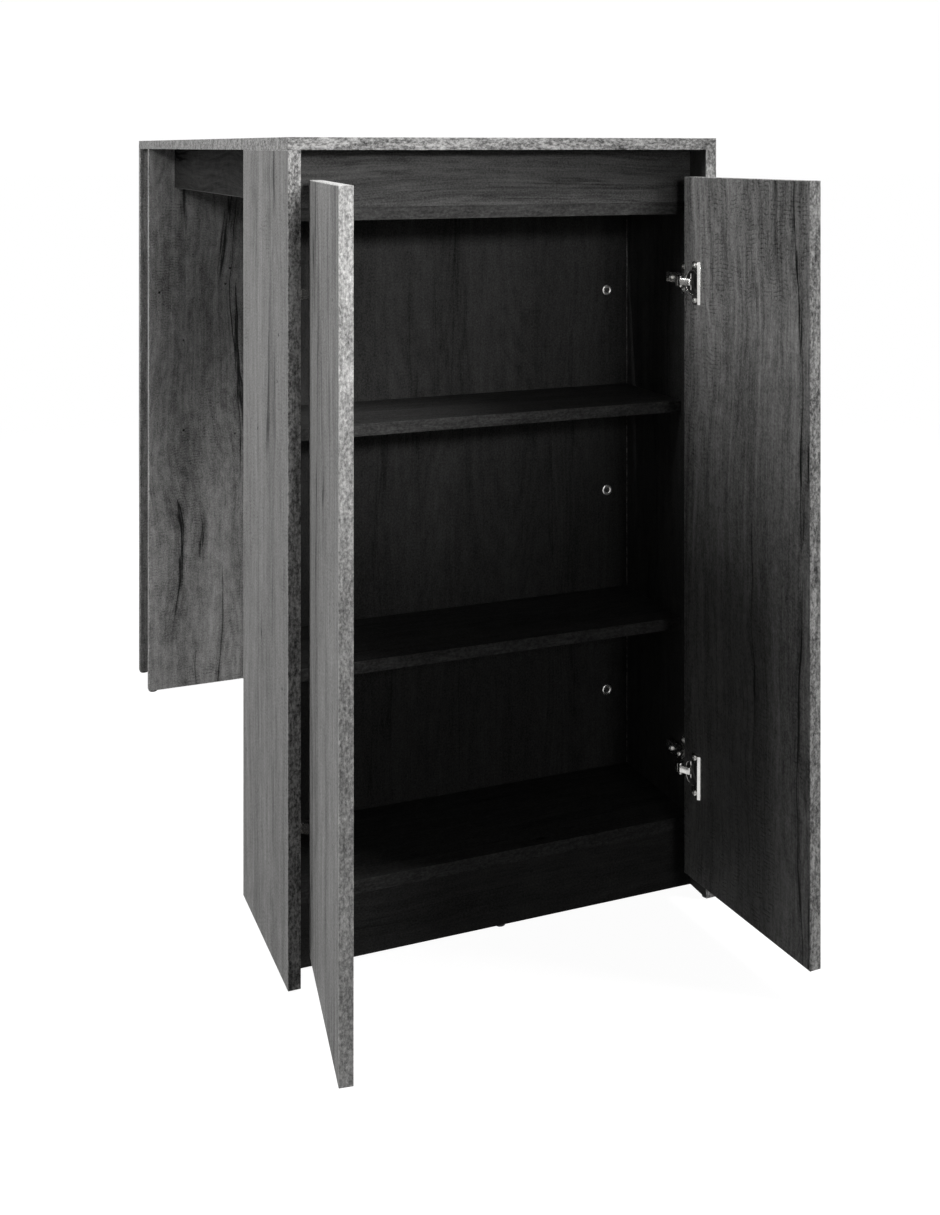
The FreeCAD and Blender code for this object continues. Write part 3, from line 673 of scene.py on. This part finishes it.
# a near-black metal that stands for the shade in hollows: painted shade
painted_shade_metal = plated("painted_shade_metal", 0.10, 0.55)
flange = sheet_blank("cup_flange", (FLANGE_NEAR, -FLANGE_HALF, 0), (FLANGE_FAR, FLANGE_HALF, FLANGE))
pick(flange, "EDGE", lambda edge: abs(edge.verts[0].co.z - edge.verts[1].co.z) > FLANGE / 2)
bpy.ops.mesh.bevel(offset=FLANGE_CORNER, segments=6, profile=0.5)
round_rim(flange, FLANGE, PRESSED_CORNER, 2)
drum = turned_disc("cup_drum", CUP_RADIUS, -CUP_DEPTH, FLANGE * DRUM_SHARE, CUP_SIDES)
cut_with(flange, drum, "UNION")
hollow = turned_disc("cup_hollow", CUP_RADIUS - CUP_WALL, CUP_WALL - CUP_DEPTH, FLANGE * 2, CUP_SIDES)
round_rim(hollow, CUP_WALL - CUP_DEPTH, CUP_FLOOR_ROUND, 5)
cut_with(flange, hollow, "DIFFERENCE")
# the mouth's edge, rounded in the press
pick(flange, "EDGE", lambda edge: all(
    abs(corner.co.z - FLANGE) < MOUTH_LEVEL_SLACK
    and abs(corner.co.xy.length - CUP_RADIUS + CUP_WALL) < MOUTH_CIRCLE_SLACK
    for corner in edge.verts))
bpy.ops.mesh.bevel(offset=CUP_MOUTH_ROUND, segments=3, profile=0.5)
# the far edge, folded over with a slope along it
bpy.ops.mesh.select_all(action="DESELECT")
bpy.ops.mesh.primitive_cube_add(size=1, location=(FLANGE_FAR - FOLD / 2, 0, FOLD / 2),
                                scale=(FOLD, 2 * FLANGE_HALF - FOLD_SHORTER, FOLD))
pick(flange, "EDGE", lambda edge: all(
    abs(corner.co.x - FLANGE_FAR) < LEVEL_SLACK and abs(corner.co.z - FOLD) < LEVEL_SLACK
    for corner in edge.verts))
bpy.ops.mesh.bevel(offset=FOLD_SLOPE, segments=1, affect="EDGES")
bpy.ops.mesh.select_linked()
bpy.ops.mesh.bevel(offset=PRESSED_CORNER, segments=2, affect="EDGES")
add_rod(PIN_RADIUS, PIN_PLACE - PIN_HALF, PIN_PLACE + PIN_HALF)
finish(flange, nickel)
# painted shade inside the cup, but not on the pin in it
paint_shade_on(flange, lambda centre: CUP_WALL / 2 - CUP_DEPTH < centre.z < FLANGE / 2
           and centre.xy.length < CUP_RADIUS - CUP_WALL / 2
           and (centre - PIN_PLACE).xz.length > PIN_RADIUS * 1.1)


def corners_of(node):
    """The corner points of a solid node."""
    return [corner.co for corner in frame["nodes"][node].data.vertices]


INNER_WALL, FRONT_EDGE = extent(corners_of("right_side_panel"))[0].xy
HINGE_HEIGHTS = {level: sum(extent(corners_of(f"left_{level}_mounting_plate")), Vector()).z / 2
                 for level in ("upper", "lower")}
# a closed door's turning centre, and its cup's, in the hinge's own frame
PIVOT = Matrix.Translation((0.0113, 0.00175, 0))
CUP_CENTRE = Matrix.Translation((0.023, 0.018, 0)) @ Matrix.Rotation(math.radians(-90), 4, "X")


def hinge_place(side, height):
    """A hinge's own frame: X away from the side panel and Y inwards from its front edge."""
    place = Matrix.Translation((SIGNS[side] * INNER_WALL, FRONT_EDGE, height))
    return place @ Matrix.Rotation(math.pi, 4, "Y") if side == "right" else place


for side, angle in DOOR_ANGLES.items():
    opened = PIVOT @ Matrix.Rotation(math.radians(-angle), 4, "Z") @ PIVOT.inverted()
    places = [hinge_place(side, height) @ opened @ CUP_CENTRE for height in HINGE_HEIGHTS.values()]
    copies(flange, places, f"{side}_cups", f"{side}_door", "hinge_steel", f"{side}_hinge_cups")
bpy.data.objects.remove(flange)

# Hinge arms, plates and links. The pressed arm lies over its mounting plate, is clamped there
# by a screw and set sideways by another, and its pin is riveted over at both ears.

ADJUSTER_RADIUS = 0.0029
ADJUSTER_HEIGHT = 0.0013
RIVET_RADIUS = 0.0021
RIVET_HEIGHT = 0.0007
SMALL_CROWN = 0.0005
ADJUSTER_ON_ARM = Vector((0.0126, 0.056, 0))
ARM_PIN = Vector((0.0338, 0.0103, 0))
HALF_ARM = Vector((0, 0, 0.007))


def eased_copy(node, name, body, finish_material, width=PRESSED_CORNER):
    """A solid's copy with its corners rounded."""
    piece = from_solid(node, name)
    bpy.ops.object.mode_set(mode="OBJECT")
    corners = piece.modifiers.new("eased corners", "BEVEL")
    corners.width = width
    corners.segments = 2
    corners.limit_method = "ANGLE"
    corners.angle_limit = math.radians(40)
    bpy.ops.object.modifier_apply(modifier=corners.name)
    bpy.ops.object.shade_smooth_by_angle(angle=math.radians(32))
    piece.data.materials.append(finish_material)
    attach(piece, body)
    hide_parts(node)
    return piece


adjuster = turned_disc("adjusting_screw", ADJUSTER_RADIUS, 0, ADJUSTER_HEIGHT, 32)
round_rim(adjuster, ADJUSTER_HEIGHT, SMALL_CROWN)
press_cross(adjuster, ADJUSTER_HEIGHT, reach=0.0018, half_width=0.0004, depth=0.0009)
finish(adjuster, zinc)
rivet = turned_disc("rivet", RIVET_RADIUS, 0, RIVET_HEIGHT, 24)
round_rim(rivet, RIVET_HEIGHT, SMALL_CROWN)
finish(rivet, nickel)
on_web = Matrix.Translation(ADJUSTER_ON_ARM) @ Matrix.Rotation(math.radians(90), 4, "Y")
ears = [Matrix.Translation(ARM_PIN + HALF_ARM),
        Matrix.Translation(ARM_PIN - HALF_ARM) @ Matrix.Rotation(math.pi, 4, "X")]
for side in SIGNS:
    for level, height in HINGE_HEIGHTS.items():
        hinge = f"{side}_{level}"
        place = hinge_place(side, height)
        arm = f"{hinge}_hinge_arm"
        eased_copy(f"{hinge}_mounting_plate", f"{hinge}_plate", "table", nickel)
        eased_copy(f"{hinge}_hinge_link", f"{hinge}_link", f"{side}_hinge_links", nickel)
        eased_copy(arm, f"{hinge}_arm", "table", nickel)
        copies(adjuster, [place @ on_web], f"{hinge}_adjusting_screw", "table", "screw_steel", arm)
        copies(rivet, [place @ ear for ear in ears], f"{hinge}_rivets", "table", "hinge_steel", arm)
bpy.data.objects.remove(adjuster)
bpy.data.objects.remove(rivet)

# Cam locks. Each is a die-cast zinc drum in the back panel, with a rounded rim round a sunk
# middle, painted near black as shade, and a cross in it for the screwdriver that draws the joint tight.

CAM_RADIUS = 0.0074
CAM_HEIGHT = 0.0122
CAM_RIM = 0.0038
CAM_SUNK = 0.0024
RIM_MIDDLE = 0.0059
RIM_THICK = 0.0021
RIM_FLATNESS = 0.5
# the part of the drum painted near black as shade: between two levels, and this near its middle
SHADE_FROM, SHADE_TO = 0.001, 0.0118
SHADE_REACH = 0.004

cast_zinc = plated("cast_zinc", 0.95, 0.24, 0.3)
cam = turned_disc("cam_lock", CAM_RADIUS, 0, CAM_HEIGHT, 48)
pick(cam, "FACE", top_face(CAM_HEIGHT))
bpy.ops.mesh.inset(thickness=CAM_RIM)
bpy.ops.mesh.extrude_region_move(TRANSFORM_OT_translate={"value": (0, 0, -CAM_SUNK)})
press_cross(cam, CAM_HEIGHT - CAM_SUNK, reach=0.0029, half_width=0.0007, depth=0.0022)
bpy.ops.mesh.select_all(action="DESELECT")
bpy.ops.mesh.primitive_torus_add(location=(0, 0, CAM_HEIGHT), major_radius=RIM_MIDDLE,
                                 minor_radius=RIM_THICK, major_segments=48, minor_segments=16)
bpy.ops.transform.resize(value=(1, 1, RIM_FLATNESS), center_override=(0, 0, CAM_HEIGHT))
finish(cam, cast_zinc)
paint_shade_on(cam, lambda centre: SHADE_FROM < centre.z < SHADE_TO and centre.xy.length < SHADE_REACH)
copies(cam, seats("cam_locks", lambda middle: Vector((0, -1, 0))), "cam_lock_heads", "table",
       "cam_zinc", "cam_locks")
bpy.data.objects.remove(cam)

# Shelf supports. Each is one piece of zinc-plated steel: a pin pushed into the side panel and
# a flat tab on which the shelf lies.

SUPPORT_CORNER = 0.0004

eased_copy("shelf_supports", "shelf_support_pegs", "table", zinc, SUPPORT_CORNER)

# Glides. Small dark plastic discs are nailed under the uprights. They keep the boards' ends
# off a wet floor.

GLIDE_CORNER = 0.0006

glide_plastic, tree, plastic, place = new_finish("glide_plastic")
grit = mottle(tree, place, (0.6, 0.6, 0.6), 2.0)
colours = put(tree, "ValToRGB", {"Fac": ramp(tree, grit, 0.35, 0.65)})
for stop, grey in zip(colours.color_ramp.elements, (0.020, 0.045)):
    stop.color = (grey, grey, grey, 1)
coat(tree, plastic, colours.outputs["Color"], ramp(tree, grit, 0.3, 0.7, 0.5, 0.7), grit,
     0.2, 0.0002)
eased_copy("floor_glides", "glides", "table", glide_plastic, GLIDE_CORNER)

# Studio. A plain white floor without an edge glows evenly, so that no horizon shows. Soft lamps
# stand on all sides and above, and a spot lights the cabinet's upper left.

FLOOR_RADIUS = 60
# between these distances the floor turns from a faintly shadowed white to a plain one
WHITE_FROM, WHITE_TO = 1.6, 4.0

lay_down()
bpy.ops.mesh.primitive_circle_add(vertices=96, radius=FLOOR_RADIUS, fill_type="NGON")
floor = bpy.context.object
floor.name = floor.data.name = "floor"
floor_white, tree, paint, place = new_finish("floor_white")
paint.inputs["Base Color"].default_value = (0.12, 0.12, 0.12, 1)
paint.inputs["Roughness"].default_value = 0.9
away = put(tree, "VectorMath", {0: place}, operation="LENGTH").outputs["Value"]
glow = put(tree, "Emission", {"Color": (1, 1, 1, 1), "Strength": 0.96})
white = put(tree, "Emission", {"Color": (1, 1, 1, 1), "Strength": 1.0})
lit = put(tree, "AddShader", {0: paint.outputs["BSDF"], 1: glow.outputs["Emission"]})
mixed = put(tree, "MixShader", {0: ramp(tree, away, WHITE_FROM, WHITE_TO, smooth=True),
                                1: lit.outputs["Shader"], 2: white.outputs["Emission"]})
tree.links.new(mixed.outputs["Shader"], tree.nodes["Material Output"].inputs["Surface"])
floor.data.materials.append(floor_white)
floor.visible_diffuse = False
floor.visible_glossy = False


def stand(lamp, place, towards):
    """Stands a lamp at a place and points it at another."""
    lamp.location = place
    lamp.rotation_euler = (Vector(towards) - Vector(place)).to_track_quat("-Z", "Y").to_euler()
    bpy.context.scene.collection.objects.link(lamp)


def soft_lamp(name, place, towards, width, height, power):
    """A rectangular lamp with a soft light, its sizes in metres and its power in watts."""
    lamp = bpy.data.objects.new(name, bpy.data.lights.new(name, "AREA"))
    lamp.data.shape = "RECTANGLE"
    lamp.data.size, lamp.data.size_y = width, height
    lamp.data.energy = power
    stand(lamp, place, towards)
    return lamp


soft_lamp("left_lamp", (-3.15, -0.2, 2.8), (-0.3, 0.1, 0.6), 1.2, 1.6, 90)
soft_lamp("low_lamp", (-2.0, 0.1, 0.95), (-0.3, 0.3, 0.5), 1.0, 0.6, 6)
soft_lamp("right_lamp", (2.5, -1.6, 3.2), (0, 0, 0.6), 1.0, 1.2, 165)
# its reflection in the top would burn out at low angles
rear_lamp = soft_lamp("rear_lamp", (1.0, 4.6, 2.0), (0, 0.8, 0.6), 1.6, 1.4, 110)
rear_lamp.visible_glossy = False
soft_lamp("front_lamp", (0.15, -3.2, 1.25), (0.1, 0, 0.6), 0.7, 0.9, 9)
soft_lamp("top_lamp", (0.2, 1.4, 3.8), (0, 0.7, 1.0), 2.2, 2.2, 60)
spot = bpy.data.objects.new("front_spot", bpy.data.lights.new("front_spot", "SPOT"))
spot.data.energy = 145
spot.data.spot_size = math.radians(23)
spot.data.spot_blend = 1.0
spot.data.shadow_soft_size = 0.15
stand(spot, (-0.35, -2.6, 1.5), (-0.22, 0.0, 0.95))

world = bpy.data.worlds.new("studio")
bpy.context.scene.world = world
world.use_nodes = True
tree = world.node_tree
backdrop = tree.nodes["Background"]
backdrop.inputs["Color"].default_value = (1, 1, 1, 1)
path = put(tree, "LightPath").outputs
# the white round the object shows in metal and polish, and hardly lights the boards
around = ramp(tree, path["Is Glossy Ray"], 0.0, 1.0, 0.01, 0.85)
tree.links.new(total(tree, ((path["Is Camera Ray"], 1.0), (around, 1.0))),
               backdrop.inputs["Strength"])
bpy.context.scene.view_settings.view_transform = "Standard"

# Camera. It stands at the photograph's place, level with the top and to the left of the doors,
# and is held upright and shifted down, so that upright edges stay parallel.

camera = bpy.data.objects.new("camera", bpy.data.cameras.new("camera"))
bpy.context.scene.collection.objects.link(camera)
camera.location = (-0.7406, -1.8752, 1.0376)
camera.rotation_euler = (math.radians(90), 0, math.radians(-23.06))
camera.data.sensor_fit = "HORIZONTAL"
camera.data.sensor_width = 36
camera.data.lens = 57.81
camera.data.shift_x = -0.0742
camera.data.shift_y = -0.4897
bpy.context.scene.camera = camera
